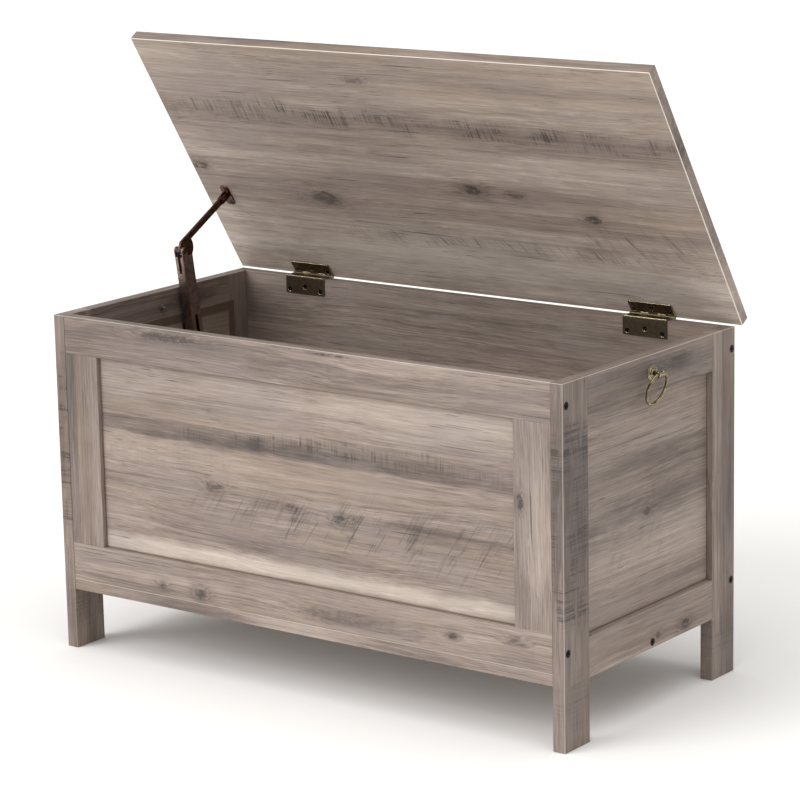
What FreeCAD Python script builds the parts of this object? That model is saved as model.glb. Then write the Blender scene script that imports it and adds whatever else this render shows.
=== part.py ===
import FreeCAD, Part
import math
import os

# Wooden toy box: a panelled chest on four legs with a hinged lid, shown open.
# Millimetres, +Z up, front towards -Y. The chest is drawn about its own centre
# line and floor, then every piece is shifted so that the origin lies under the
# middle of the open chest's footprint.

# ---- Carcass ----
CHEST_WIDTH = 786.0
CHEST_DEPTH = 385.0
RIM_HEIGHT = 445.0
SIDE_THICK = 17.0          # legs and side rails
BOARD_THICK = 15.0         # front rails and stiles, back panel, bottom board
PANEL_THICK = 9.0          # panels held in the side and front frames
LEG_WIDTH = 53.0
SIDE_TOP_RAIL = 47.0
SIDE_BOTTOM_RAIL = 51.0
FLOOR_GAP = 80.0           # clear height under the chest
FRONT_RAIL = 49.0
FRONT_STILE = 53.0
FRONT_SET_BACK = 0.5       # front frame behind the legs' front edges
PANEL_LAP = 10.0           # how far a panel reaches under its frame
PANEL_PLAY = 0.2           # room round a panel in its rebate
BOARD_EASE = 0.4           # eased edge of a board

# ---- Lid ----
LID_SIDE_OVERHANG = 7.0    # past the chest at each end
LID_FRONT_OVERHANG = 9.9
LID_THICK = 15.0
LID_EASE = 0.6
LID_OPEN_ANGLE = 57.5      # rest pose, from closed
LID_BEHIND_PIN = 2.0       # lid's rear edge behind the hinge pin when closed

# ---- Joinery ----
DOWEL_RADIUS = 4.0
DOWEL_LENGTH = 30.0
FLOOR_DOWEL_LENGTH = 24.0
FLOOR_DOWEL_IN_BOTTOM = 9.5
FLOOR_DOWEL_INSET = 143.0  # outer floor dowels from the chest's end
DOWEL_PLAY = 0.05          # radial
DOWEL_END_PLAY = 0.5
SIDE_DOWEL_PITCH = 19.0
SIDE_DOWEL_EDGE = 10.0     # upper dowel's axis from the top rail's upper edge
LOW_DOWEL_EDGE = 12.0      # lower dowel's axis from the bottom rail's lower edge
FRONT_DOWEL_PITCH = 20.0
FRONT_DOWEL_EDGE = 12.0    # outer dowel's axis from the stile's outer edge
TOP_BOLT_DROP = 27.0       # upper bolts below the rim
LOW_BOLT_RISE = 26.0       # lower bolts above the front frame's lower edge
BOLT_SINK = 0.2            # head below the surface

# ---- Screws: head radius, straight rim, cone height, shank radius, length ----
FRAME_BOLT = dict(head=5.0, rim=0.5, cone=2.0, shank=3.0, length=50.0)
LONG_SCREW = dict(head=3.2, rim=0.3, cone=1.2, shank=1.6, length=12.0)
SHORT_SCREW = dict(head=3.2, rim=0.3, cone=1.2, shank=1.6, length=8.0)
SCREW_PLAY = 0.05
HEX_ACROSS = 4.0
HEX_DEPTH = 1.9
CROSS_LENGTH = 3.4
CROSS_WIDTH = 0.8
CROSS_DEPTH = 0.9
TOOL_OVERRUN = 1.0         # how far a cutting tool stands out of the surface
TINY = 1e-6                # shorter than any real edge

# ---- Butt hinges, wrapped over the back panel ----
HINGE_INSET = 121.5        # hinge centre from the chest's end
HINGE_WIDTH = 65.0
LEAF_THICK = 1.5
LEAF_GAP = 0.3             # between the closed leaves, and beside each knuckle
LOWER_LEAF_DROP = 23.0
UPPER_LEAF_REACH = 22.0    # leaf's front edge from the lid's rear edge
LEAF_CORNER = 1.5
KNUCKLE_COUNT = 5
KNUCKLE_RADIUS = 2.6
HINGE_PIN_RADIUS = 1.5
PIN_PLAY = 0.05            # radial running clearance of every pivot
PIN_HEAD_RADIUS = 2.2
PIN_HEAD_THICK = 0.8
KNUCKLE_TO_BACK = 0.5      # between knuckle and back panel
KNUCKLE_TO_LID = 0.3       # between knuckle and the closed lid's underside
HINGE_SCREW_PITCH = 26.0
LOWER_SCREW_DROPS = (17.5, 13.0, 17.5)    # below the rim
UPPER_SCREW_INSETS = (9.0, 12.5, 9.0)     # from the lid's rear edge

# ---- Ring pulls on the side rails ----
RING_DROP = 23.0           # pivot below the rim
RING_STAND_OFF = 12.0      # pivot in front of the side face
RING_RADIUS = 20.5         # centre line of the wire
RING_WIRE = 1.9            # radius
RING_HALF_CHORD = 8.0      # half the distance between the ring's two bends
RING_STUB = 4.0            # how far each end reaches into the barrel
RING_LEAN = 16.0           # lower end leans towards the chest, degrees
BARREL_HALF = 6.8
BARREL_RADIUS = 3.0
BEAD_RADIUS = 3.6
BEAD_LENGTH = 2.4
EYE_NECK_RADIUS = 2.4
ROSETTE_STEPS = ((10.5, 1.2), (8.0, 1.0), (5.0, 1.3))   # radius, thickness
ROSETTE_EASE = 0.4         # each step narrows this much to its top
EYE_SHANK_RADIUS = 2.0
EYE_HOLE_PLAY = 0.15
EYE_SHANK_OUT = 5.2        # shank beyond the rail's inner face
WASHER_RADIUS = 5.0
WASHER_THICK = 0.8
NUT_ACROSS = 7.0
NUT_THICK = 3.2

# ---- Folding lid stay at the left end ----
STAY_WALL_GAP = 13.5       # arm's middle plane from the side's inner face
ARM_THICK = 3.0
ARM_WIDTH = 8.8
ARM_CRANK = 5.5            # bar's centre line above the elbow pin
FOOT_ALONG_LID = 136.0     # lid pin from the lid's rear edge
FOOT_BELOW_LID = 11.5
ELBOW_BEFORE_PIN = 169.6   # elbow in front of the hinge pins
ELBOW_ABOVE_RIM = 52.5
HEEL_RADIUS = 5.0
HEEL_CORNER = (0.6, 11.9)  # outer corner of the crank, from the elbow pin
LOBE_CENTRE = (7.0, 1.5)
LOBE_RADIUS = 18.0
LOBE_START = -43.0         # lower end of the lobe's arc, degrees
LOBE_END = 40.0            # upper end, inside the bar
CHANNEL_TILT = 9.0         # top leans to the front, degrees
CHANNEL_WIDTH = 14.5
CHANNEL_DEPTH = 20.0
CHANNEL_WALL = 1.5
CHANNEL_TOP = 8.5          # top edge below the elbow pin
CHANNEL_BOTTOM = 142.0     # bottom edge below the elbow pin
CHANNEL_FRONT = 5.0        # front face before the elbow pin
FOLD_SLOT_PLAY = 0.7       # each side of the arm, where it swings through the channel
FRONT_SLOT_END = 32.0
REAR_SLOT_END = 34.0
ELBOW_PIN_RADIUS = 2.5
ELBOW_HEAD_RADIUS = 4.2
ELBOW_WASHER_RADIUS = 4.5
STAY_HEAD_THICK = 1.0
BASE_PIN_BELOW = 124.5     # base pin below the elbow, along the channel
BASE_SLOT_PLAY = 0.4       # each side of the base pin
SLIDE_UP = 30.6            # base pin's travel in the slot as the lid closes
SLIDE_DOWN = 8.2           # and as the lid opens fully
STAY_SIDE_GAP = 0.45       # beside each moving face
BASE_PIN_RADIUS = 2.5
BASE_BOSS_RADIUS = 4.5
BASE_PLATE_WIDTH = 20.0
BASE_PLATE_HEIGHT = 46.0
STAY_PLATE_THICK = 1.5
BASE_SCREW_PITCH = 30.0
STAY_CORNER = 4.0
FOOT_LENGTH = 32.0
FOOT_BACK_SHIFT = 2.0      # plate's middle behind the lid pin
FOOT_LEFT = 3.0            # plate's left edge outside the clevis middle plane
FOOT_WIDTH = 14.0
FOOT_SCREW_PITCH = 23.0
FOOT_SCREW_ASIDE = 3.5
FOOT_TIP = 5.5             # clevis ears beyond the lid pin
LID_PIN_RADIUS = 2.0
LID_PIN_HEAD = 3.2
SPRING_TOP = 31.5          # below the elbow pin, along the channel
SPRING_BOTTOM = 84.0
SPRING_RADIUS = 4.2
SPRING_WIRE = 0.7
SPRING_PITCH = 4.2
SEAT_THICK = 2.0
SEAT_PLAY = 0.2

# ---- Places worked out from the sizes ----
X_AXIS = FreeCAD.Vector(1, 0, 0)
Y_AXIS = FreeCAD.Vector(0, 1, 0)
Z_AXIS = FreeCAD.Vector(0, 0, 1)
HALF_W = CHEST_WIDTH / 2
HALF_D = CHEST_DEPTH / 2
INNER_X = HALF_W - SIDE_THICK
FRONT_FACE = -HALF_D + FRONT_SET_BACK
FRONT_BACK = FRONT_FACE + BOARD_THICK
FRONT_MID = FRONT_FACE + BOARD_THICK / 2
BACK_INNER = HALF_D - BOARD_THICK
BACK_MID = HALF_D - BOARD_THICK / 2
BOTTOM_TOP = FLOOR_GAP + BOARD_THICK
LEG_INNER = HALF_D - LEG_WIDTH
LID_UNDER = RIM_HEIGHT + 2 * LEAF_THICK + LEAF_GAP
PIN_Y = HALF_D + KNUCKLE_RADIUS + KNUCKLE_TO_BACK
PIN_Z = LID_UNDER - KNUCKLE_RADIUS - KNUCKLE_TO_LID
LID_REAR = PIN_Y + LID_BEHIND_PIN
LID_FRONT = -HALF_D - LID_FRONT_OVERHANG
LID_HALF_WIDTH = HALF_W + LID_SIDE_OVERHANG
HINGE_X = HALF_W - HINGE_INSET
HALF_HINGE = HINGE_WIDTH / 2
LEAF_REAR = PIN_Y - KNUCKLE_RADIUS - LEAF_GAP
FLOOR_DOWEL_X = HALF_W - FLOOR_DOWEL_INSET
TOP_BOLT_Z = RIM_HEIGHT - TOP_BOLT_DROP
LOW_BOLT_Z = BOTTOM_TOP + LOW_BOLT_RISE
BOTTOM_BOLT_Z = FLOOR_GAP + BOARD_THICK / 2
RING_Z = RIM_HEIGHT - RING_DROP
RING_X = HALF_W + RING_STAND_OFF
STAY_X = -INNER_X + STAY_WALL_GAP
FOLD_SLOT_HALF = ARM_THICK / 2 + FOLD_SLOT_PLAY
CHANNEL_REAR = CHANNEL_DEPTH - CHANNEL_FRONT
CHANNEL_MIDDLE = CHANNEL_DEPTH / 2 - CHANNEL_FRONT
ELBOW = FreeCAD.Vector(STAY_X, PIN_Y - ELBOW_BEFORE_PIN, RIM_HEIGHT + ELBOW_ABOVE_RIM)
FOOT_Y = LID_REAR - FOOT_ALONG_LID
FOOT_Z = LID_UNDER - FOOT_BELOW_LID


# ---- Shape helpers ----
def vec(x, y, z):
    return FreeCAD.Vector(x, y, z)


def block(low, high, ease=0.0):
    """Box between two corners, with its edges eased when asked."""
    size = [b - a for a, b in zip(low, high)]
    box = Part.makeBox(size[0], size[1], size[2], vec(*low))
    if ease > 0:
        box = box.makeChamfer(ease, box.Edges)
    return box


def rod(start, direction, radius, length):
    return Part.makeCylinder(radius, length, start, direction)


def turned(points, at, direction):
    """Solid of revolution: (radius, height) points about the local Z axis,
    which is then laid along direction from the point at."""
    corners = [vec(r, 0, h) for r, h in points]
    outline = Part.makePolygon(corners + corners[:1])
    solid = Part.Face(outline).revolve(vec(0, 0, 0), Z_AXIS, 360)
    solid.Placement = FreeCAD.Placement(at, FreeCAD.Rotation(Z_AXIS, direction))
    return solid


def prism(across, height, at, direction):
    """Hexagonal prism, across flats, growing from the point at."""
    radius = across / math.sqrt(3)
    turns = [math.radians(60 * k) for k in range(7)]
    corners = [vec(radius * math.cos(a), radius * math.sin(a), 0) for a in turns]
    solid = Part.Face(Part.makePolygon(corners)).extrude(Z_AXIS * height)
    solid.Placement = FreeCAD.Placement(at, FreeCAD.Rotation(Z_AXIS, direction))
    return solid


def cut_all(shape, tools):
    for tool in tools:
        shape = shape.cut(tool)
    return shape


def fused(shapes):
    whole = shapes[0].fuse(shapes[1:])
    return whole.removeSplitter()


def mirrored(shape):
    return shape.mirror(vec(0, 0, 0), X_AXIS)


def for_side(shape, side):
    """A piece drawn for the right side, as it is on the named side."""
    return shape if side == "right" else mirrored(shape)


def edges_along(shape, axis):
    """Straight edges of a block that run along one axis."""
    found = []
    for edge in shape.Edges:
        size = edge.BoundBox
        lengths = {"X": size.XLength, "Y": size.YLength, "Z": size.ZLength}
        if lengths[axis] > TINY and all(v < TINY for k, v in lengths.items() if k != axis):
            found.append(edge)
    return found


def opened(shape):
    """Turn a lid piece from the closed pose to the open rest pose."""
    turned_shape = shape.copy()
    turned_shape.rotate(vec(0, PIN_Y, PIN_Z), X_AXIS, -LID_OPEN_ANGLE)
    return turned_shape


def screw_body(size, at, direction, grow=0.0, over=0.0):
    """Countersunk screw whose head faces direction. With grow and over it is
    the tool that cuts the screw's hole."""
    head = size["head"] + grow
    shank = size["shank"] + grow
    neck = size["rim"] + size["cone"]
    end = size["length"] + grow
    points = [(0, over), (head, over), (head, -size["rim"] - grow)]
    points += [(shank, -neck - grow), (shank, -end), (0, -end)]
    return turned(points, at, direction)


def screw_hole(size, at, direction):
    return screw_body(size, at, direction, SCREW_PLAY, TOOL_OVERRUN)


def hex_bolt(at, direction):
    socket = prism(HEX_ACROSS, HEX_DEPTH + TOOL_OVERRUN, at - direction * HEX_DEPTH, direction)
    return screw_body(FRAME_BOLT, at, direction).cut(socket)


def cross_screw(size, at, direction):
    bars = []
    half = (CROSS_LENGTH / 2, CROSS_WIDTH / 2)
    for x_half, y_half in (half, half[::-1]):
        bar = block((-x_half, -y_half, -CROSS_DEPTH), (x_half, y_half, TOOL_OVERRUN))
        bar.Placement = FreeCAD.Placement(at, FreeCAD.Rotation(Z_AXIS, direction))
        bars.append(bar)
    return cut_all(screw_body(size, at, direction), bars)


def dowel(middle, axis, length=DOWEL_LENGTH):
    return rod(middle - axis * (length / 2), axis, DOWEL_RADIUS, length)


def dowel_hole(middle, axis, length=DOWEL_LENGTH):
    whole = length + 2 * DOWEL_END_PLAY
    return rod(middle - axis * (whole / 2), axis, DOWEL_RADIUS + DOWEL_PLAY, whole)


# ---- Where the fasteners go ----
def side_dowel_points():
    """Dowels between the right side's rails and legs, along Y."""
    top = RIM_HEIGHT - SIDE_DOWEL_EDGE
    low = FLOOR_GAP + LOW_DOWEL_EDGE
    heights = (top, top - SIDE_DOWEL_PITCH, low, low + SIDE_DOWEL_PITCH)
    return [vec(HALF_W - SIDE_THICK / 2, y, z) for y in (-LEG_INNER, LEG_INNER) for z in heights]


def front_dowel_points():
    """Dowels between the front rails and stiles, along Z."""
    outer = INNER_X - FRONT_DOWEL_EDGE
    inner = outer - FRONT_DOWEL_PITCH
    heights = (BOTTOM_TOP + FRONT_RAIL, RIM_HEIGHT - FRONT_RAIL)
    return [vec(x, FRONT_MID, z) for x in (-outer, -inner, inner, outer) for z in heights]


def floor_dowel_points():
    """Dowels that stand in the bottom board, under the front frame and the back."""
    middle = BOTTOM_TOP - FLOOR_DOWEL_IN_BOTTOM + FLOOR_DOWEL_LENGTH / 2
    spots = (-FLOOR_DOWEL_X, 0, FLOOR_DOWEL_X)
    return [vec(x, y, middle) for x in spots for y in (FRONT_MID, BACK_MID)]


def bolt_points():
    """Frame bolts of the right side, heads in the outer face."""
    places = [(y, z) for y in (FRONT_MID, BACK_MID) for z in (TOP_BOLT_Z, LOW_BOLT_Z)]
    places.append((0.0, BOTTOM_BOLT_Z))
    return [vec(HALF_W - BOLT_SINK, y, z) for y, z in places]


def bolt_holes():
    right = [screw_hole(FRAME_BOLT, at, X_AXIS) for at in bolt_points()]
    return right + [mirrored(hole) for hole in right]


def base_pin_point():
    """Fixed pin that the stay's channel slides and turns on."""
    local = vec(0, CHANNEL_MIDDLE, -BASE_PIN_BELOW)
    return ELBOW + FreeCAD.Rotation(X_AXIS, CHANNEL_TILT).multVec(local)


def base_screw_points():
    pin = base_pin_point()
    face = -INNER_X + STAY_PLATE_THICK
    return [vec(face, pin.y, pin.z + s * BASE_SCREW_PITCH / 2) for s in (-1, 1)]


def hinge_screw_offsets():
    return (-HINGE_SCREW_PITCH, 0.0, HINGE_SCREW_PITCH)


def lower_screw_points():
    spots = []
    for centre in (-HINGE_X, HINGE_X):
        for dx, drop in zip(hinge_screw_offsets(), LOWER_SCREW_DROPS):
            spots.append(vec(centre + dx, BACK_INNER - LEAF_THICK, RIM_HEIGHT - drop))
    return spots


def upper_screw_points():
    """Lid screws of the hinges, in the closed pose."""
    spots = []
    for centre in (-HINGE_X, HINGE_X):
        for dx, inset in zip(hinge_screw_offsets(), UPPER_SCREW_INSETS):
            spots.append(vec(centre + dx, LID_REAR - inset, LID_UNDER - LEAF_THICK))
    return spots


def foot_screw_points():
    """Lid screws of the stay's foot, in the closed pose."""
    middle = FOOT_Y + FOOT_BACK_SHIFT
    face = LID_UNDER - STAY_PLATE_THICK
    return [vec(STAY_X + FOOT_SCREW_ASIDE, middle + s * FOOT_SCREW_PITCH / 2, face) for s in (-1, 1)]


# ---- Sides ----
def side_opening(grow):
    """Clear opening of the right side frame, grown all round, as deep as the panel."""
    low = (INNER_X, -LEG_INNER - grow, FLOOR_GAP + SIDE_BOTTOM_RAIL - grow)
    high = (INNER_X + PANEL_THICK, LEG_INNER + grow, RIM_HEIGHT - SIDE_TOP_RAIL + grow)
    return block(low, high)


def side_pieces():
    """Legs, rails and panel of the right side, before the stay's screw holes."""
    seat = side_opening(PANEL_LAP + PANEL_PLAY)
    dowels = [dowel_hole(at, Y_AXIS) for at in side_dowel_points()]
    bolts = [screw_hole(FRAME_BOLT, at, X_AXIS) for at in bolt_points()]
    mouth = vec(INNER_X - TOOL_OVERRUN, 0, RING_Z)
    eye = rod(mouth, X_AXIS, EYE_SHANK_RADIUS + EYE_HOLE_PLAY, SIDE_THICK + 2 * TOOL_OVERRUN)
    spans = {
        "front_leg": (-HALF_D, -LEG_INNER, 0, RIM_HEIGHT),
        "rear_leg": (LEG_INNER, HALF_D, 0, RIM_HEIGHT),
        "top_rail": (-LEG_INNER, LEG_INNER, RIM_HEIGHT - SIDE_TOP_RAIL, RIM_HEIGHT),
        "bottom_rail": (-LEG_INNER, LEG_INNER, FLOOR_GAP, FLOOR_GAP + SIDE_BOTTOM_RAIL),
    }
    pieces = {}
    for name, (y_low, y_high, z_low, z_high) in spans.items():
        board = block((INNER_X, y_low, z_low), (HALF_W, y_high, z_high), BOARD_EASE)
        pieces[name] = cut_all(board, [seat, eye] + dowels + bolts)
    pieces["side_panel"] = side_opening(PANEL_LAP)
    return pieces


def add_sides(nodes):
    base_holes = [screw_hole(SHORT_SCREW, at, X_AXIS) for at in base_screw_points()]
    for side in ("left", "right"):
        for name, shape in side_pieces().items():
            piece = for_side(shape, side)
            if side == "left":
                piece = cut_all(piece, base_holes)
            nodes[side + "_" + name] = piece
        dowels = [for_side(dowel(at, Y_AXIS), side) for at in side_dowel_points()]
        nodes[side + "_side_dowels"] = Part.makeCompound(dowels)
        bolts = [for_side(hex_bolt(at, X_AXIS), side) for at in bolt_points()]
        nodes[side + "_frame_bolts"] = Part.makeCompound(bolts)


# ---- Front, back and bottom ----
def front_opening(grow):
    """Clear opening of the front frame, grown all round, at the panel's depth."""
    half = INNER_X - FRONT_STILE + grow
    low = (-half, FRONT_BACK - PANEL_THICK, BOTTOM_TOP + FRONT_RAIL - grow)
    high = (half, FRONT_BACK, RIM_HEIGHT - FRONT_RAIL + grow)
    return block(low, high)


def add_front(nodes):
    seat = front_opening(PANEL_LAP + PANEL_PLAY)
    tools = [seat] + bolt_holes()
    tools += [dowel_hole(at, Z_AXIS) for at in front_dowel_points()]
    tools += [dowel_hole(at, Z_AXIS, FLOOR_DOWEL_LENGTH) for at in floor_dowel_points()]
    low = BOTTOM_TOP + FRONT_RAIL
    high = RIM_HEIGHT - FRONT_RAIL
    stile = INNER_X - FRONT_STILE
    plain = {
        "front_top_rail": ((-INNER_X, FRONT_FACE, high), (INNER_X, FRONT_BACK, RIM_HEIGHT)),
        "front_bottom_rail": ((-INNER_X, FRONT_FACE, BOTTOM_TOP), (INNER_X, FRONT_BACK, low)),
        "front_left_stile": ((-INNER_X, FRONT_FACE, low), (-stile, FRONT_BACK, high)),
        "front_right_stile": ((stile, FRONT_FACE, low), (INNER_X, FRONT_BACK, high)),
    }
    for name, (corner, opposite) in plain.items():
        nodes[name] = cut_all(block(corner, opposite, BOARD_EASE), tools)
    nodes["front_panel"] = front_opening(PANEL_LAP)
    dowels = [dowel(at, Z_AXIS) for at in front_dowel_points()]
    nodes["front_dowels"] = Part.makeCompound(dowels)


def add_back_and_bottom(nodes):
    tools = bolt_holes()
    tools += [dowel_hole(at, Z_AXIS, FLOOR_DOWEL_LENGTH) for at in floor_dowel_points()]
    tools += [screw_hole(LONG_SCREW, at, -Y_AXIS) for at in lower_screw_points()]
    back = block((-INNER_X, BACK_INNER, BOTTOM_TOP), (INNER_X, HALF_D, RIM_HEIGHT), BOARD_EASE)
    bottom = block((-INNER_X, FRONT_FACE, FLOOR_GAP), (INNER_X, HALF_D, BOTTOM_TOP), BOARD_EASE)
    nodes["back_panel"] = cut_all(back, tools)
    nodes["bottom_board"] = cut_all(bottom, tools)
    stubs = [dowel(at, Z_AXIS, FLOOR_DOWEL_LENGTH) for at in floor_dowel_points()]
    nodes["bottom_dowels"] = Part.makeCompound(stubs)


# ---- Lid board ----
def add_lid(nodes):
    low = (-LID_HALF_WIDTH, LID_FRONT, LID_UNDER)
    high = (LID_HALF_WIDTH, LID_REAR, LID_UNDER + LID_THICK)
    spots = upper_screw_points() + foot_screw_points()
    holes = [screw_hole(LONG_SCREW, at, -Z_AXIS) for at in spots]
    nodes["lid_board"] = opened(cut_all(block(low, high, LID_EASE), holes))


# ---- Hinges ----
def knuckle_spans(first):
    """X ranges of every second knuckle, from the first one named."""
    pitch = HINGE_WIDTH / KNUCKLE_COUNT
    spans = []
    for index in range(first, KNUCKLE_COUNT, 2):
        left = -HALF_HINGE + index * pitch
        lower_end = left + (LEAF_GAP / 2 if index > 0 else 0)
        upper_end = left + pitch - (LEAF_GAP / 2 if index < KNUCKLE_COUNT - 1 else 0)
        spans.append((lower_end, upper_end))
    return spans


def leaf(plates, tab_low, tab_high, first):
    """Flat plates joined by tabs to their share of the knuckles, and bored."""
    shapes = list(plates)
    for left, right in knuckle_spans(first):
        shapes.append(block((left, LEAF_REAR - LEAF_THICK, tab_low), (right, PIN_Y, tab_high)))
        shapes.append(rod(vec(left, PIN_Y, PIN_Z), X_AXIS, KNUCKLE_RADIUS, right - left))
    bore = rod(vec(-HINGE_WIDTH, PIN_Y, PIN_Z), X_AXIS, HINGE_PIN_RADIUS + PIN_PLAY, 2 * HINGE_WIDTH)
    return fused(shapes).cut(bore)


def lower_leaf():
    """Leaf screwed to the back panel's inner face and bent over its top edge."""
    face = BACK_INNER - LEAF_THICK
    top = RIM_HEIGHT + LEAF_THICK
    low = (-HALF_HINGE, face, RIM_HEIGHT - LOWER_LEAF_DROP)
    upright = block(low, (HALF_HINGE, BACK_INNER, top))
    corners = [e for e in edges_along(upright, "Y") if e.BoundBox.ZMax < RIM_HEIGHT]
    upright = upright.makeFillet(LEAF_CORNER, corners)
    flange = block((-HALF_HINGE, face, RIM_HEIGHT), (HALF_HINGE, LEAF_REAR, top))
    return leaf([upright, flange], RIM_HEIGHT, top - LEAF_GAP, 0)


def upper_leaf():
    """Leaf screwed to the lid's underside, in the closed pose."""
    low = LID_UNDER - LEAF_THICK
    front = (-HALF_HINGE, LID_REAR - UPPER_LEAF_REACH, low)
    plate = block(front, (HALF_HINGE, LEAF_REAR, LID_UNDER))
    corners = [e for e in edges_along(plate, "Z") if e.BoundBox.YMax < LEAF_REAR - TINY]
    plate = plate.makeFillet(LEAF_CORNER, corners)
    return leaf([plate], low, LID_UNDER, 1)


def hinge_pin():
    shapes = [rod(vec(-HALF_HINGE, PIN_Y, PIN_Z), X_AXIS, HINGE_PIN_RADIUS, HINGE_WIDTH)]
    for x in (-HALF_HINGE - PIN_HEAD_THICK, HALF_HINGE):
        shapes.append(rod(vec(x, PIN_Y, PIN_Z), X_AXIS, PIN_HEAD_RADIUS, PIN_HEAD_THICK))
    return fused(shapes)


def moved_x(shape, distance):
    shifted = shape.copy()
    shifted.translate(vec(distance, 0, 0))
    return shifted


def add_hinges(nodes):
    low_tools = [screw_hole(LONG_SCREW, at, -Y_AXIS) for at in lower_screw_points()]
    top_tools = [screw_hole(LONG_SCREW, at, -Z_AXIS) for at in upper_screw_points()]
    for side, centre in (("left", -HINGE_X), ("right", HINGE_X)):
        nodes[side + "_hinge_lower_leaf"] = cut_all(moved_x(lower_leaf(), centre), low_tools)
        upper = cut_all(moved_x(upper_leaf(), centre), top_tools)
        nodes[side + "_hinge_upper_leaf"] = opened(upper)
        nodes[side + "_hinge_pin"] = moved_x(hinge_pin(), centre)
    low_screws = [cross_screw(LONG_SCREW, at, -Y_AXIS) for at in lower_screw_points()]
    top_screws = [opened(cross_screw(LONG_SCREW, at, -Z_AXIS)) for at in upper_screw_points()]
    nodes["hinge_chest_screws"] = Part.makeCompound(low_screws)
    nodes["hinge_lid_screws"] = Part.makeCompound(top_screws)


# ---- Ring pulls ----
def rosette():
    outline = [(EYE_SHANK_RADIUS + PIN_PLAY, 0)]
    height = 0.0
    for radius, thick in ROSETTE_STEPS:
        outline.append((radius, height))
        height += thick
        outline.append((radius - ROSETTE_EASE, height))
    outline.append((EYE_SHANK_RADIUS + PIN_PLAY, height))
    return turned(outline, vec(HALF_W, 0, RING_Z), X_AXIS)


def eyebolt():
    """Cross barrel that holds the ring's ends, on a threaded shank through the rail."""
    centre = vec(RING_X, 0, RING_Z)
    face = HALF_W + sum(thick for radius, thick in ROSETTE_STEPS)
    shapes = [rod(centre - Y_AXIS * BARREL_HALF, Y_AXIS, BARREL_RADIUS, 2 * BARREL_HALF)]
    for end in (-BARREL_HALF, BARREL_HALF - BEAD_LENGTH):
        shapes.append(rod(centre + Y_AXIS * end, Y_AXIS, BEAD_RADIUS, BEAD_LENGTH))
    shapes.append(rod(vec(face, 0, RING_Z), X_AXIS, EYE_NECK_RADIUS, RING_X - face))
    inner_end = INNER_X - EYE_SHANK_OUT
    shapes.append(rod(vec(inner_end, 0, RING_Z), X_AXIS, EYE_SHANK_RADIUS, face - inner_end))
    bores = []
    for sign in (-1, 1):
        mouth = BARREL_HALF + TOOL_OVERRUN
        reach = mouth - (RING_HALF_CHORD - RING_STUB) + DOWEL_END_PLAY
        start = centre + Y_AXIS * (sign * mouth)
        bores.append(rod(start, Y_AXIS * -sign, RING_WIRE + PIN_PLAY, reach))
    return cut_all(fused(shapes), bores)


def ring_nut():
    washer_face = INNER_X - WASHER_THICK
    washer = rod(vec(washer_face, 0, RING_Z), X_AXIS, WASHER_RADIUS, WASHER_THICK)
    nut = prism(NUT_ACROSS, NUT_THICK, vec(washer_face, 0, RING_Z), -X_AXIS)
    bore_start = vec(washer_face - NUT_THICK - TOOL_OVERRUN, 0, RING_Z)
    through = NUT_THICK + WASHER_THICK + 2 * TOOL_OVERRUN
    bore = rod(bore_start, X_AXIS, EYE_SHANK_RADIUS + PIN_PLAY, through)
    return Part.makeCompound([washer.cut(bore), nut.cut(bore)])


def ring():
    """Wire ring, open at the top, whose ends turn in along the barrel."""
    drop = math.sqrt(RING_RADIUS ** 2 - RING_HALF_CHORD ** 2)
    half_gap = math.degrees(math.asin(RING_HALF_CHORD / RING_RADIUS))
    centre = vec(0, 0, -drop)
    start = vec(0, RING_HALF_CHORD, 0)
    tangent = X_AXIS.cross(start - centre)
    tangent.normalize()
    section = Part.Face(Part.Wire(Part.makeCircle(RING_WIRE, start, tangent)))
    shapes = [section.revolve(centre, X_AXIS, -(360 - 2 * half_gap))]
    for sign in (-1, 1):
        bend = vec(0, sign * RING_HALF_CHORD, 0)
        shapes.append(Part.makeSphere(RING_WIRE, bend))
        shapes.append(rod(bend, Y_AXIS * -sign, RING_WIRE, RING_STUB))
    whole = fused(shapes)
    whole.rotate(vec(0, 0, 0), Y_AXIS, RING_LEAN)
    whole.translate(vec(RING_X, 0, RING_Z))
    return whole


def add_rings(nodes):
    for side in ("left", "right"):
        nodes[side + "_ring_plate"] = for_side(rosette(), side)
        nodes[side + "_ring_eyebolt"] = for_side(eyebolt(), side)
        nodes[side + "_ring_nut"] = for_side(ring_nut(), side)
        nodes[side + "_ring"] = for_side(ring(), side)


# ---- Lid stay ----
def stay_slab(face, middle, thick):
    """Extrude a face drawn in the YZ plane so that it is centred on x = middle."""
    slab = face.extrude(X_AXIS * thick)
    slab.translate(vec(middle - thick / 2, 0, 0))
    return slab


def lid_pin_point():
    """Stay's pin on the lid, in the open rest pose."""
    mark = Part.Vertex(STAY_X, FOOT_Y, FOOT_Z)
    return opened(mark).Point


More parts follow.
